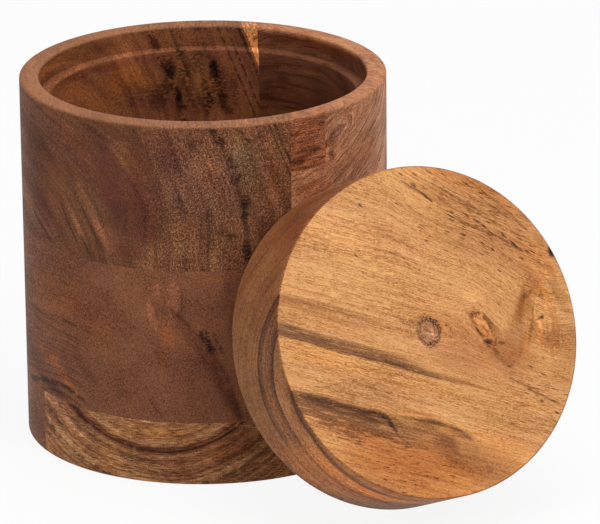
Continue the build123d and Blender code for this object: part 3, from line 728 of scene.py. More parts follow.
lid = {
    "radius": 52.9 * mm, "thickness": 34 * mm, "frontArris": 0.6 * mm, "backArris": 1.2 * mm, "steps": 256,
    "middle": (62.694887 * mm, -76.054980 * mm, 54.859439 * mm),
    "heading": math.radians(-62.7), "lean": math.radians(24.8),
}
lidWood = {
    "colours": [tint(84, 48, 25), tint(147, 94, 53), tint(193, 136, 84), tint(212, 159, 105), tint(234, 194, 143)],
    "cool": (0.97, 0.96, 0.97, 1), "warm": (1.03, 1.03, 0.97, 1),
    "texture": [("bench", (40, 12, 12), 2, 0.5), ("rings", (46, 2.0, 9), 3, 0.2), ("bench", (26, 1.1, 1.1), 3, 0.6),
                ("bench", (3.0, 0.42, 0.42), 2, 0.85), ("bench", (0.9, 0.36, 0.36), 1, 0.75)],
    "pores": [(3.4, 0.62, 0.12, 0.34), (5.0, 0.85, 0.1, 0.32)], "poreAmount": 0.9,
    "rough": 0.54, "gloss": 0.12, "relief": 0.6,
    # right, up the slope, half length, half width, slope, colour, amount
    "face": [
        (12, -6, 32, 15, -28, "pink", 1), (27, -12, 15, 10, -35, "umber", 0.8),
        (8, -10, 16, 6, -20, "umber", 0.5), (-14, -42, 44, 15, -25, "rust", 0.8),
        (-10, -36, 46, 14, -25, "umber", 0.9), (-20, -42, 36, 12, -25, "umber", 0.7),
        (-36, -25, 24, 6, -25, "rust", 0.5), (20, -43, 22, 9, -28, "rust", 0.35),
        (-2, -30, 40, 3, -24, "amber", 0.5), (8, -44, 26, 10, -25, "umber", 0.7),
        (-38, -1.5, 26, 6, -24, "amber", 0.7), (0, -19, 22, 4, -24, "amber", 0.5),
        (-34, -5, 20, 2.4, -24, "light", 0.45), (-44, 17, 18, 3.4, -25, "umber", 0.8),
        (-34, 10.5, 16, 2.4, -25, "umber", 0.6), (-30, 13, 20, 0.7, -23.5, "brown", 0.8),
        (-36, 18.5, 16, 0.6, -23, "brown", 0.6), (-28, 8.2, 18, 0.6, -24, "brown", 0.6),
        (-16, 9, 22, 0.5, -24, "brown", 0.5), (-20, 0.5, 16, 2.6, -26, "umber", 0.45),
        (19, 8.5, 7, 4.4, 10, "light", 0.8), (-24, 36, 26, 11, -24, "light", 0.35),
        (26, 31, 34, 19, -38, "umber", 0.7), (43, 16, 12, 8, -60, "rust", 0.4),
        (48, -12, 12, 10, -70, "umber", 0.5), (46, -22, 12, 8, -50, "umber", 0.5),
        (36, 40, 20, 7, -48, "russetWash", 0.8), (22, 46, 22, 6, -30, "russetWash", 0.6),
        (35, 22.8, 11, 0.7, -36, "dark", 1), (6, 45, 11, 0.6, -38, "dark", 0.9),
        (22, 31, 13, 0.7, -33, "dark", 0.8), (20, 40, 16, 0.8, -38, "dark", 0.6),
        (33, 34, 12, 0.7, -44, "dark", 0.6), (-16, 44, 15, 0.8, -36, "brown", 0.6),
        (26, 34, 20, 0.7, -36, "dark", 0.55), (12, 41, 16, 0.7, -34, "brown", 0.8),
        (30, 40, 16, 0.7, -46, "brown", 0.9), (39, 30, 12, 0.7, -52, "brown", 0.9),
        (10, 34, 18, 0.7, -30, "brown", 0.7), (16, 26, 16, 0.6, -28, "brown", 0.6),
        (-8, 34, 12, 0.6, -24, "brown", 0.5), (36, -27.5, 12, 0.7, -35, "dark", 0.85),
        (29, -22, 11, 0.6, -31, "dark", 0.7), (43, -22, 9, 0.6, -38, "brown", 0.7),
        (24, -35, 12, 0.6, -30, "brown", 0.7), (38, -36, 7, 0.6, -36, "dark", 0.6),
        (10, -18.5, 18, 0.9, -26, "russet", 0.9), (15, -41, 16, 0.7, -26, "brown", 0.6),
        (-8, -46, 18, 0.8, -22, "brown", 0.6), (-22, -38, 16, 0.7, -24, "brown", 0.6),
        (-35, -33, 12, 0.7, -26, "brown", 0.6), (-28, -32, 14, 0.6, -25, "brown", 0.5),
        (-30, -42, 14, 0.8, -22, "brown", 0.6), (-14, -33.5, 10, 0.6, -20, "brown", 0.6),
        (6, -28, 14, 0.6, -26, "brown", 0.5), (-5.5, -28, 8, 1.9, -22, "dark", 0.75),
        (3.5, -33, 8, 1.7, -30, "dark", 0.7), (-2.5, -36, 8, 5.5, -30, "brown", 0.95),
        (-1, -41, 6, 2.2, -40, "brown", 0.6), (-21.4, -23.6, 2.8, 1.7, -34, "deep", 0.8),
        (-20, -26, 2.6, 1.5, -66, "deep", 0.95), (-18.9, -28.2, 2.2, 1.2, -58, "deep", 0.8),
        (-17.4, -31, 2.4, 0.9, -50, "dark", 0.7), (-24, -21.5, 5, 1.4, -26, "dark", 0.7),
        (-8, -29, 9, 1.2, -24, "dark", 0.6), (2, -33.4, 7, 1, -32, "russet", 0.8),
        (-13, -25.5, 7, 0.9, -20, "dark", 0.8), (-9, -27.2, 6, 1, -24, "dark", 0.7),
        (-3.5, -29, 7, 1.1, -26, "dark", 0.75), (2, -31.6, 5, 1, -32, "dark", 0.7),
        (5.6, -35, 4, 1, -40, "dark", 0.7), (-6, -31.5, 6, 1.4, -26, "purple", 0.9),
        (-1.5, -35, 5, 3, -34, "purple", 0.9), (1, -39.5, 4, 1, -50, "dark", 0.5),
        (-11, -29.5, 6, 1, -28, "brown", 0.8), (-14, -8.2, 8, 1.3, -27, "dark", 0.6),
        (-24, -3.6, 9, 1, -27, "dark", 0.5), (-40, 5.2, 10, 1, -24, "brown", 0.8),
        (-47, 9.6, 6, 1.2, -24, "dark", 0.5), (-9, -11.2, 6, 0.8, -26, "dark", 0.5),
        (-36, -17.5, 16, 3.4, -25, "brown", 0.9), (-26, -22.5, 9, 3.2, -24, "dark", 0.6),
        (-44, -14.5, 9, 2.6, -27, "dark", 0.5), (-16.6, -34.2, 3.4, 1.1, 4, "brown", 0.9),
        (-24.2, -13.6, 3.6, 0.9, -30, "brown", 0.9), (-20.5, -17, 4.4, 0.9, -34, "dark", 0.6),
        (-23, -16, 2, 0.6, -50, "dark", 0.7), (-17.5, -19, 3, 0.6, -50, "brown", 0.8),
        (-29, -11, 4, 0.5, -30, "brown", 0.7), (-9.5, -24.5, 12, 0.8, -20, "russet", 0.8),
        (-14, -14.5, 12, 1, -24, "russet", 0.7), (49.4, 17.8, 3.4, 2, -70, "deep", 1),
        (49, 17, 2, 1.4, -60, "deep", 0.9), (46, 22, 6, 2.4, -60, "brown", 0.7),
        (47.6, 12, 5.5, 2.2, -70, "russet", 0.7), (49, 3, 9, 4, -78, "umber", 0.9),
        (50.4, -2, 4, 0.9, -20, "dark", 0.7), (46.5, 8, 5, 0.8, -50, "brown", 0.7),
        (40, 12.5, 6, 3, -50, "umber", 0.9), (43, 10, 5, 2.4, 40, "pink", 0.8),
        (44, 15, 5, 0.7, -50, "dark", 0.6),
    ],
    # single open vessels: right, up the slope, half length, half width, slope
    "dashes": [
        (2, 50.6, 1.6, 0.5, -46), (5.6, 46.2, 2.2, 0.5, -40), (9.4, 41.8, 2.6, 0.6, -44),
        (10.6, 40.6, 1.6, 0.6, -50), (-14.4, 43.2, 1.4, 0.6, -50), (-1.6, 41.6, 1.6, 0.4, -30),
        (21.8, 34.2, 2.4, 0.5, -40), (24.8, 31.8, 2.6, 0.6, -40), (27.4, 29.4, 2, 0.6, -50),
        (17, 35.6, 1.6, 0.5, -36), (33.6, 25.6, 2.8, 0.5, -54), (36.4, 22.4, 2.6, 0.5, -50),
        (40.8, 19, 1.8, 0.6, -40), (38.2, 17.2, 1.6, 0.4, -40), (28.6, 21.8, 1.4, 0.5, -50),
        (14, 30, 1.8, 0.4, -30), (6, 28.4, 1.6, 0.4, -26), (-19.6, 27.8, 1.4, 0.5, -50),
        (30, 40, 2.4, 0.4, -50), (24, 44, 2.4, 0.4, -42), (34.4, -28.4, 1.2, 0.6, -40),
        (38.8, -33, 1.6, 0.6, -36), (29.6, -25, 1.6, 0.4, -30), (33, -17, 2.2, 0.4, -30),
        (37.2, -20.4, 2, 0.4, -34),
    ],
    # angle, depth, half length, half width, slope, colour, amount
    "side": [
        (204, 13, 28, 18, 0, "light", 0.75), (222, 18, 28, 24, 0, "amber", 0.9),
        (248, 18, 28, 24, 0, "amber", 1), (244, 9, 28, 10, 6, "light", 0.6),
        # the brown marks near the back face, at depths 33 to 34.6 from 210 to 258 degrees, are painted shade where
        # the wall of the disc comes down to the floor
        (210, 34.6, 28, 4, 0, "brown", 0.7), (234, 34, 28, 5.5, 0, "brown", 0.8),
        (258, 33, 28, 8, 0, "brown", 1), (120, 12, 50, 36, 0, "dusk", 0.9), (112, 8, 44, 30, 0, "dim", 0.85),
        (138, 6, 26, 12, 0, "dusk", 0.7), (141.5, 24, 9.5, 1.1, 34, "dark", 0.95),
        (150, 30, 8, 3, 34, "brown", 0.6), (128, 14, 12, 1.6, 36, "brown", 0.6),
        (110, 11, 6, 3, 50, "russet", 0.5), (186, 7, 14, 2.4, 22, "light", 0.45),
        (158, 12, 22, 9, 30, "umber", 0.6), (236, 8, 44, 12, 6, "light", 0.8), (228, 20, 44, 18, 4, "tan", 0.6),
        (214, 29, 36, 7, 0, "warm", 0.7), (230, 10, 36, 9, 6, "warm", 0.6), (192, 6, 22, 5, 20, "light", 0.8),
        (206, 12, 34, 14, 6, "light", 0.5), (250, 14, 26, 12, 6, "tan", 0.7), (196, 16, 14, 8, 0, "warm", 0.4),
        (248, 18.5, 16, 1.6, 8, "brown", 0.9), (262, 26, 18, 7, 8, "umber", 0.9),
        (215, 6, 14, 2.5, 12, "tan", 0.5),
    ],
    # growth lines on the wall: start, end, colour, amount, and whether only the upper half shows it
    "lines": [
        (38.6, 47, "ash", 0.7, True), (38.6, 41, "shade", 1, True), (41.5, 44.5, "pinkish", 0.6, True),
        (45, 47.6, "char", 0.7, True), (47.3, 48.2, "char", 1, True), (42.4, 43, "char", 0.6, False),
        (37.7, 38.6, "char", 1, True), (37.8, 38.5, "russet", 1, False), (49.2, 49.8, "russet", 0.7, True),
        (28.6, 29.7, "char", 0.8, False), (28.2, 30.2, "russet", 0.6, False), (33, 35, "light", 0.5, False),
        (39, 40, "russet", 0.5, False), (51.5, 52.3, "russet", 0.7, False), (55, 58, "shade", 0.7, False),
        (60.5, 61.2, "brown", 0.7, False), (66, 68, "shade", 0.6, False),
    ],
}
stains.update({
    "pink": (0.90, 0.80, 0.80, 1), "pinkish": (1.22, 1.12, 1.12, 1), "umber": (0.80, 0.74, 0.70, 1),
    "amber": (1.10, 1.04, 0.84, 1), "russet": (0.74, 0.58, 0.46, 1), "russetWash": (0.92, 0.76, 0.62, 1),
    "smoke": (0.32, 0.28, 0.31, 1), "char": (0.46, 0.38, 0.36, 1), "ash": (0.78, 0.80, 0.84, 1),
    "chalk": (1.9, 2.3, 2.9, 1), "heart": (0.78, 0.80, 1.02, 1), "lens": (1.14, 0.98, 0.80, 1),
    # wall, on this line, is painted shade on the disc's wall, partly its darker end grain
    "curl": (0.76, 0.62, 0.48, 1), "curlLight": (1.18, 1.16, 1.0, 1), "wall": (0.75, 0.655, 0.66, 1),
    "row": (0.62, 0.46, 0.36, 1),
})
# growth rings of the slab, which lie along the grain: how the grain climbs to the right, its direction on the
# face, the heart's place below the face, how the rings flatten past it, and how they bend and bow at the right
slab = {
    "climb": 0.44, "grainCos": 0.915, "grainSin": 0.403, "heart": (41.3, 26.4), "flatten": 0.42,
    "bend": 0.011, "bendRight": 5.0, "bendUp": 5.0,
    "bow": 13.0, "bowPlace": (45, 0, 0), "bowRadii": (36, 36, 80),
    "waves": [((50, 14, 14), 1.0), ((16, 3, 3), 0.5)],
}
# places on the face: right, up the slope, and out of the wood
knot = {
    "place": (0.2, 0.0, 0.0), "radius": 3.9, "opening": (13, 8, 60), "push": 0.62, "swell": (1.2, 1.8),
    "marks": [
        (-0.4, 4.6, 3.4, 1, -6, "deep", 0.8), (1.8, 3.4, 2.6, 0.8, -28, "deep", 0.7),
        (3.1, 1.9, 2.4, 1.5, -50, "deep", 0.95), (-4.6, 3.8, 3, 0.7, -30, "dark", 0.9),
        (4.1, -0.4, 1.4, 0.8, 80, "dark", 0.8), (3.2, -2.6, 1.5, 0.8, 56, "dark", 0.7),
        (0.2, -4.2, 3.2, 1.1, 8, "deep", 0.9), (-2.8, -2.2, 2.8, 0.6, -52, "dark", 0.8),
        (-4.1, 0.4, 1.4, 0.7, -60, "dark", 0.8), (-2.8, 3.2, 2.6, 0.6, 24, "dark", 0.7),
        (-6.4, 3.2, 5, 0.6, -34, "dark", 0.8), (-8.4, 5.2, 5, 0.5, -38, "brown", 0.9),
        (-7.4, 1.4, 5.4, 0.6, -24, "russet", 0.9), (-6.6, -0.6, 4, 0.5, -14, "brown", 0.8),
        (-3.8, 2.6, 4, 1.1, -30, "light", 0.9), (-4, -2.4, 3.6, 1.2, -34, "light", 0.8),
        (1.2, -0.2, 0.8, 1.1, 0, "chalk", 1), (7.6, -0.6, 1, 0.8, 0, "dark", 0.6),
        (6.2, -2.6, 4, 0.6, -6, "russet", 0.8), (9, -5, 5, 0.5, -14, "brown", 0.6),
        (6.6, 1, 0.8, 0.6, 0, "dark", 0.8), (-1.2, 0.8, 0.9, 0.6, 20, "brown", 0.8),
    ],
}
splitKnot = {
    "place": (19.4, -2.0, 0.0), "slope": 24, "radii": (2.7, 7.6, 60), "opening": (12, 13, 60), "push": 0.5,
    "marks": [
        (20.4, -6.6, 2.4, 1.4, -20, "deep", 0.95), (19.4, -7.4, 3.4, 1, -60, "dark", 0.8),
        (24.6, -7.9, 2.4, 1.1, -14, "dark", 0.9), (15.8, 1.8, 5.6, 1, -62, "brown", 0.95),
        (17.6, -3.2, 4.6, 0.7, -68, "dark", 0.7), (22.6, -2, 7, 1.8, -60, "brown", 0.9),
        (21.6, 0.4, 4.6, 0.7, -60, "dark", 0.8), (23.4, -13, 6, 1.8, -50, "brown", 0.8),
        (20.4, -3.6, 3, 0.5, -62, "dark", 0.7), (22, -10, 2.6, 1.1, -50, "dark", 0.8),
        (26, -15.6, 1.8, 0.7, 0, "dark", 0.7), (13.4, -2.4, 5, 0.5, -50, "brown", 0.6),
        (25.6, -12, 4, 0.6, -40, "russet", 0.7),
    ],
}
swirl = {
    "place": (41.0, -1.5, 0.0), "slope": 8, "radii": (6.5, 15.0, 60.0), "curls": 4.6, "depth": (9.0, 3.0),
    "marks": [
        (34.6, 2.5, 10, 4.4, 66, "umber", 1), (33.4, 1, 7, 3, 64, "russetWash", 0.9),
        (33.6, -9, 8, 3.2, 60, "russetWash", 0.8), (30, -5, 11, 5, 60, "umber", 0.9),
        (28, -13, 9, 4, 50, "pink", 0.9), (34.8, 3.5, 8, 1.8, 68, "brown", 0.9),
        (37.6, 5.8, 4.5, 1.6, 30, "brown", 0.9), (38.6, 1.6, 5, 0.8, 70, "dark", 0.5),
        (42.6, 6.6, 4, 2, -30, "gold", 0.6), (43.8, 2, 8, 2.2, 84, "light", 0.5),
        (44.4, 2, 7, 2.2, -80, "gold", 0.4), (38.8, -6.4, 8, 1.9, 74, "light", 0.7),
        (39, -7, 7, 1.6, 74, "gold", 0.5), (41.6, 4.6, 3, 1, 0, "brown", 0.8),
        (35.8, -6, 8, 1.2, 66, "brown", 0.8), (40.9, -2.3, 1.4, 1.2, 0, "deep", 1),
        (39.6, -2.6, 2.4, 0.6, 10, "dark", 0.7), (41.6, -8, 6, 0.8, 80, "brown", 0.6),
        (47.6, 4, 8, 1.2, -70, "brown", 0.5), (32, -9, 8, 1.8, 60, "umber", 0.8),
    ],
}


def pushAround(desk, point, spot):
    # opens the grain round a knot, so that it flows past on both sides
    mask = desk.times(desk.bell(point, spot["place"], spot["opening"]), spot["push"])
    out = desk.add("VectorMath", {0: point, 1: spot["place"]}, operation="SUBTRACT").outputs[0]
    shift = desk.add("VectorMath", {0: out, "Scale": mask}, operation="SCALE").outputs[0]
    return desk.add("VectorMath", {0: point, 1: shift}, operation="SUBTRACT").outputs[0]


def onFace(desk, flat, mark, deep=8, swell=(1, 1)):
    # a mark on the face, which reaches a little way into the wood
    right, rise, long, wide, slope = mark[:5]
    radii = (long * swell[0], wide * swell[1], deep)
    return desk.bell(flat, (right, rise, 0), radii, (0, 0, math.radians(slope)))


def onDiscWall(desk, flat, mark):
    # a mark on the wall of the disc
    angle, deep, long, wide, tilt = mark[:5]
    swing, radius = math.radians(angle), lid["radius"] / mm
    centre = (radius * math.cos(swing), radius * math.sin(swing), -deep)
    return desk.bell(flat, centre, (long, 6, wide), (0, math.radians(tilt), swing + math.pi / 2))


def ovalDistance(desk, flat, spot):
    # 0 in the middle of an oval spot, 1 at its edge
    place = desk.turned(spot["place"], (0, 0, math.radians(spot["slope"])), spot["radii"], flat)
    return desk.add("VectorMath", {0: place}, operation="LENGTH").outputs["Value"]


def drawKnot(desk, look, flat, rough):
    # a greyish heart inside a dark, broken ring
    u, v, w = desk.split(desk.turned(knot["place"], (0, 0, 0), (1, 1, 1), flat))
    gaps = desk.noise(desk.stretch(flat, 3.4, 3.4, 9, (7, 1, 0)), 2)
    fine = desk.noise(desk.stretch(flat, 0.6, 0.6, 6), 2, 0.7)
    reach = desk.plus(desk.plus(desk.away(u, v), centred(desk, rough, 2.0)), centred(desk, gaps, 4.6))
    reach = desk.plus(reach, centred(desk, fine, 2.2))
    size = knot["radius"]
    stain(desk, look, desk.remap(reach, size + 0.2, size - 1.0), stains["heart"], 0.9, 0.6)
    specks = desk.times(desk.remap(reach, size, size - 1.0), desk.remap(fine, 0.52, 0.62))
    stain(desk, look, specks, stains["dark"], 0.8, 0.5)
    ring = desk.times(desk.band(reach, size - 0.9, size + 0.6, 0.5, 0.5), desk.remap(fine, 0.40, 0.56, 0.3, 1.0))
    stain(desk, look, ring, stains["dark"], 0.9, 2.0)
    dotted = desk.remap(fine, 0.40, 0.55, 0.15, 1.0)
    for mark in knot["marks"]:
        mask = desk.times(onFace(desk, flat, mark, swell=knot["swell"]), dotted)
        stain(desk, look, mask, stains[mark[5]], mark[6])


def drawSplitKnot(desk, look, flat, rough):
    # a long orange lens between two dark lines, closed at its foot
    lens = desk.plus(ovalDistance(desk, flat, splitKnot), centred(desk, rough, 0.9))
    stain(desk, look, desk.remap(lens, 0.95, 0.4), stains["lens"], 0.7, 1.0)
    edge = desk.times(desk.band(lens, 0.72, 1.0, 0.16, 0.3), desk.remap(rough, 0.34, 0.58, 0.3, 1.0))
    stain(desk, look, edge, stains["russet"], 1.0, 1.6)
    stain(desk, look, desk.times(edge, desk.remap(rough, 0.44, 0.58)), stains["dark"], 0.85, 2.0)
    for mark in splitKnot["marks"]:
        stain(desk, look, onFace(desk, flat, mark), stains[mark[5]], mark[6])


def drawSwirl(desk, look, flat, rough):
    # curled grain about a pin hole
    curl = desk.plus(ovalDistance(desk, flat, swirl), centred(desk, rough, 0.45))
    curled = {"W": desk.times(curl, swirl["curls"]), "Scale": 1.0, "Detail": 3.0, "Roughness": 0.7}
    waves = desk.add("TexNoise", curled, noise_dimensions="1D").outputs[0]
    depth = desk.times(desk.split(flat)[2], -1.0)
    inside = desk.times(desk.remap(curl, 1.25, 0.7), desk.remap(depth, *swirl["depth"]))
    stain(desk, look, desk.times(inside, desk.remap(waves, 0.56, 0.40)), stains["curl"], 0.9, 2.0)
    stain(desk, look, desk.times(inside, desk.remap(waves, 0.50, 0.66)), stains["curlLight"], 0.9, 2.0)
    for mark in swirl["marks"]:
        stain(desk, look, onFace(desk, flat, mark), stains[mark[5]], mark[6], 1.0)


def slabRings(desk, flat):
    # the slab seen along its grain: the bench, the place along the grain and the ring number
    point = pushAround(desk, pushAround(desk, flat, knot), splitKnot)
    u, v, w = desk.split(point)
    slope = desk.plus(v, desk.times(u, slab["climb"]))
    bent = desk.times(desk.math("MAXIMUM", desk.plus(u, slab["bendRight"]), 0.0),
                      desk.math("MAXIMUM", desk.math("SUBTRACT", v, slab["bendUp"]), 0.0))
    slope = desk.plus(slope, desk.times(bent, slab["bend"]))
    slope = desk.plus(slope, desk.times(desk.bell(point, slab["bowPlace"], slab["bowRadii"]), slab["bow"]))
    across = desk.times(slope, slab["grainCos"])
    depth = desk.times(w, -1.0)
    past = desk.plus(across, slab["heart"][0])
    ring = desk.away(desk.math("MAXIMUM", past, 0.0), desk.plus(depth, slab["heart"][1]))
    ring = desk.plus(ring, desk.times(desk.math("MINIMUM", past, 0.0), slab["flatten"]))
    along = alongGrain(desk, u, v)
    bench = desk.join(along, across, depth)
    return bench, along, depth, wavy(desk, bench, ring, slab["waves"])


def alongGrain(desk, u, v):
    return desk.math("SUBTRACT", desk.times(u, slab["grainCos"]), desk.times(v, slab["grainSin"]))


def darkenWallGrainAndShade(desk, look, flat, bench, ring, rim, ends):
    # the wall of the disc is darker than its faces, partly painted shade where it faces away from the lamps towards
    # the canister and the floor, partly its darker end grain, and most where the fibres end
    stain(desk, look, rim, stains["wall"], 1.0, 0.5)
    stain(desk, look, desk.times(rim, desk.remap(ends, 16, 50)), stains["shade"], 1.0, 0.8)
    dots = desk.noise(desk.stretch(bench, 2.4, 0.5, 0.5, (9, 2, 6)), 2, 0.6)
    stain(desk, look, desk.times(rim, desk.remap(dots, 0.50, 0.62)), stains["brown"], 0.9, 0.5)
    pits = desk.noise(desk.stretch(flat, 0.9, 0.9, 0.6, (4, 4, 1)), 2, 0.6)
    pitted = desk.times(desk.times(rim, desk.band(ring, 37.6, 48.4, 0.5, 0.5)), desk.remap(pits, 0.48, 0.58))
    stain(desk, look, pitted, stains["dark"], 0.6, 0.5)


def drawBands(desk, look, bench, ring, rim, right, streaks):
    # two dark growth bands that fade out to the right, crisp on one edge
    torn = desk.noise(desk.stretch(bench, 5.5, 0.5, 0.6, (1, 5, 2)), 3, 0.7)
    ragged = desk.plus(desk.plus(ring, centred(desk, torn, 2.4)), centred(desk, streaks, 1.2))
    first = desk.plus(desk.times(desk.band(ragged, 38.4, 41.2, 0.35, 1.2), desk.remap(right, -28.0, 8.0, 1.0, 0.0)),
                      desk.times(desk.band(ragged, 38.1, 39.2, 0.3, 0.7), desk.remap(right, -14.0, 20.0, 1.0, 0.0)))
    second = desk.times(desk.band(ragged, 26.6, 28.9, 0.3, 0.4), desk.remap(right, -30.0, 2.0, 1.0, 0.0))
    mottled = desk.remap(desk.math("MINIMUM", streaks, torn), 0.35, 0.49, 0.3, 1.0)
    crisp = desk.times(desk.band(ragged, 28.2, 28.9, 0.3, 0.2), desk.remap(right, -30.0, -10.0, 1.0, 0.0))
    first = desk.times(first, desk.remap(rim, 0.0, 1.0, 1.0, 0.25))
    for mask, amount in ((desk.times(first, mottled), 0.95), (desk.times(second, mottled), 0.9), (crisp, 0.4)):
        stain(desk, look, desk.math("MINIMUM", mask, 1.0), stains["smoke"], amount, 3.4)


def drawLines(desk, look, ring, rim, right, rise, streaks):
    frayed = desk.remap(streaks, 0.34, 0.6, 0.4, 1.0)
    thin = desk.times(desk.band(ring, 47.2, 48.2, 0.4, 0.4),
                      desk.times(desk.remap(right, -30.0, -8.0, 1.0, 0.0), frayed))
    stain(desk, look, thin, stains["brown"], 0.85)
    upper = desk.remap(rise, -34.0, -14.0)
    for start, end, colourName, amount, upperOnly in lidWood["lines"]:
        mask = desk.times(desk.band(ring, start, end, 0.35, 0.35), desk.times(rim, frayed))
        if upperOnly:
            mask = desk.times(mask, upper)
        stain(desk, look, mask, stains[colourName], amount, 3.0)


# where short rows of open vessels gather: centre, radii, slope in radians, amount
rowPlaces = [((26, 33, 0), (42, 22, 60), -0.65, 0.95), ((32, -25, 0), (30, 14, 60), -0.55, 0.8),
             ((-14, -40, 0), (46, 16, 60), -0.42, 0.7), ((-20, 14, 0), (40, 7, 60), -0.42, 0.6)]
crowds = [((24, 34, 0), (42, 24, 200), -0.65, 0.55), ((34, -26, 0), (26, 12, 200), -0.6, 0.35),
          ((-20, -42, 0), (36, 16, 200), -0.45, 0.3)]


def lidMaterial(face, turn):
    wood = lidWood
    material, desk = startMaterial("lidWood")
    flat = desk.turned(face, turn.to_euler(), (mm, mm, mm))
    bench, along, depth, ring = slabRings(desk, flat)
    look = grain(desk, {"bench": bench, "rings": desk.join(along, ring, desk.times(depth, 0.2))}, wood)
    rough = desk.noise(desk.stretch(flat, 1.7, 1.7, 6), 3, 0.65)
    streaks = desk.noise(desk.stretch(desk.join(along, ring, 0.0), 16, 0.34, 1, (4, 4, 0)), 3, 0.65)
    right, rise, out = desk.split(flat)
    rim = desk.remap(desk.away(right, rise), 52.2, 52.8)
    ends = desk.math("ABSOLUTE", alongGrain(desk, right, rise))
    darkenWallGrainAndShade(desk, look, flat, bench, ring, rim, ends)
    drawBands(desk, look, bench, ring, rim, right, streaks)
    drawLines(desk, look, ring, rim, right, rise, streaks)
    rows = desk.remap(desk.noise(desk.stretch(bench, 4.6, 0.55, 0.8, (2, 9, 1)), 2, 0.6), 0.54, 0.61)
    for centre, radii, tilt, amount in rowPlaces:
        stain(desk, look, desk.times(desk.bell(flat, centre, radii, (0, 0, tilt)), rows), stains["row"], amount)

    flat = strayed(desk, look, flat)
    for mark in wood["face"]:
        stain(desk, look, onFace(desk, flat, mark, 12), stains[mark[5]], mark[6], 6.0 if mark[3] < 1 else 2.0)
    for mark in wood["dashes"]:
        stain(desk, look, onFace(desk, flat, mark), stains["deep"], 0.9, 1.0)
    for mark in wood["side"]:
        mask = desk.times(onDiscWall(desk, flat, mark), rim)
        stain(desk, look, mask, stains[mark[5]], mark[6], 0.8 if mark[3] > 6 else 2.0)
    drawKnot(desk, look, flat, rough)
    drawSplitKnot(desk, look, flat, rough)
    drawSwirl(desk, look, flat, rough)

    crowd = 0.0
    for centre, radii, tilt, more in crowds:
        crowd = desk.plus(crowd, desk.times(desk.bell(flat, centre, radii, (0, 0, tilt)), more))
    addPores(desk, look, bench, wood["pores"], crowd)
    finishWood(desk, look, wood)
    return material


def makeLid(c):
    r, t = c["radius"], c["thickness"] / 2
    rounds = [(r, -t, c["backArris"], 4), (r, t, c["frontArris"], 4)]
    bm = spun([(0, -t), (r, -t), (r, t), (0, t)], c["steps"], rounds)
    lean, heading = c["lean"], c["heading"]
    out = Vector((math.cos(lean) * math.cos(heading), math.cos(lean) * math.sin(heading), math.sin(lean)))
    right = Vector((-math.sin(heading), math.cos(heading), 0))
    turn = Matrix((right, out.cross(right), out)).transposed()
    bmesh.ops.transform(bm, matrix=Matrix.Translation(c["middle"]) @ turn.to_4x4(), verts=bm.verts[:])
    finishPiece(bm, "lidSlab", "lid", "lid", lidMaterial(Vector(c["middle"]) + out * t, turn))


makeLid(lid)
print("lid made")


studio = {
    "floorSize": 6.0, "floorWhite": 0.65, "floorGlow": 0.9, "ambient": 0.36,
    "keyPower": 22.0, "keyPlace": (1.1, -1.2, 1.5), "keySize": 1.2,
    "fillPower": 7.0, "fillPlace": (-1.4, -1.3, 0.3), "fillSize": 1.2,
    "backPower": 3.0, "backPlace": (0.2, 1.4, 1.4), "backSize": 1.0,
    "topPower": 24.0, "topPlace": (0.05, -0.2, 1.9), "topSize": 1.4, "aim": (0.03, -0.03, 0.06),
}


def makeFloor(s):
    bm = bmesh.new()
    bmesh.ops.create_grid(bm, x_segments=1, y_segments=1, size=s["floorSize"] / 2)
    mesh = bpy.data.meshes.new("floor")
    bm.to_mesh(mesh)
    bm.free()
    floor = bpy.data.objects.new("floor", mesh)
    bpy.context.collection.objects.link(floor)
    material, desk = startMaterial("floorPaint")
    rays = desk.add("LightPath").outputs
    seen = desk.math("ADD", rays["Is Camera Ray"], rays["Is Glossy Ray"], True)
    seen = desk.math("ADD", seen, rays["Is Transmission Ray"], True)
    matt = desk.add("BsdfDiffuse", {0: (s["floorWhite"],) * 3 + (1,)}).outputs[0]
    glow = desk.add("Emission", {0: (1, 1, 1, 1), 1: 1.0}).outputs[0]
    mixed = desk.add("MixShader", {0: desk.times(seen, s["floorGlow"]), 1: matt, 2: glow}).outputs[0]
    out = desk.add("OutputMaterial")
    desk.tree.links.new(mixed, out.inputs[0])
    mesh.materials.append(material)


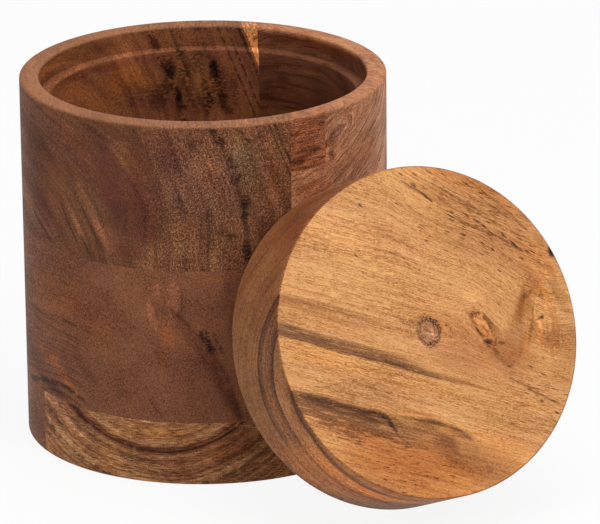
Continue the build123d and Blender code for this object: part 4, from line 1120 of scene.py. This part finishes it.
def makeLamp(name, place, size, power):
    lamp = bpy.data.lights.new(name, "AREA")
    lamp.shape = "DISK"
    lamp.size = size
    lamp.energy = power
    item = bpy.data.objects.new(name, lamp)
    item.location = place
    item.rotation_euler = (Vector(studio["aim"]) - item.location).to_track_quat("-Z", "Y").to_euler()
    bpy.context.collection.objects.link(item)


def makeSky(s):
    world = bpy.data.worlds.new("studioSky")
    bpy.context.scene.world = world
    world.use_nodes = True
    tree = world.node_tree
    tree.nodes.clear()
    rays = tree.nodes.new("ShaderNodeLightPath")
    seen = tree.nodes.new("ShaderNodeMath")
    seen.operation = "ADD"
    seen.use_clamp = True
    tree.links.new(rays.outputs["Is Camera Ray"], seen.inputs[0])
    tree.links.new(rays.outputs["Is Transmission Ray"], seen.inputs[1])
    strength = tree.nodes.new("ShaderNodeMapRange")
    strength.inputs[3].default_value = s["ambient"]
    strength.inputs[4].default_value = 1.0
    tree.links.new(seen.outputs[0], strength.inputs[0])
    glow = tree.nodes.new("ShaderNodeBackground")
    glow.inputs[0].default_value = (1, 1, 1, 1)
    tree.links.new(strength.outputs[0], glow.inputs[1])
    out = tree.nodes.new("ShaderNodeOutputWorld")
    tree.links.new(glow.outputs[0], out.inputs[0])


camera = {
    "place": (0, -1.671746, 0.628237), "yaw": 0.01861, "pitch": 0.33021, "roll": -0.0108,
    "pixels": 5342.0, "imageWidth": 600, "sensor": 36.0, "clipStart": 0.05,
}


def makeCamera(c):
    data = bpy.data.cameras.new("camera")
    data.sensor_fit = "HORIZONTAL"
    data.sensor_width = c["sensor"]
    data.lens = c["pixels"] * c["sensor"] / c["imageWidth"]
    data.clip_start = c["clipStart"]
    item = bpy.data.objects.new("camera", data)
    bpy.context.collection.objects.link(item)
    turn = (Matrix.Rotation(-c["yaw"], 4, "Z") @ Matrix.Rotation(math.pi / 2 - c["pitch"], 4, "X")
            @ Matrix.Rotation(c["roll"], 4, "Z"))
    item.matrix_world = Matrix.Translation(c["place"]) @ turn
    bpy.context.scene.camera = item


makeFloor(studio)
makeSky(studio)
for lampName in ("key", "fill", "back", "top"):
    makeLamp(lampName + "Lamp", studio[lampName + "Place"], studio[lampName + "Size"], studio[lampName + "Power"])
makeCamera(camera)
bpy.context.scene.view_settings.view_transform = "Standard"
print("studio set")
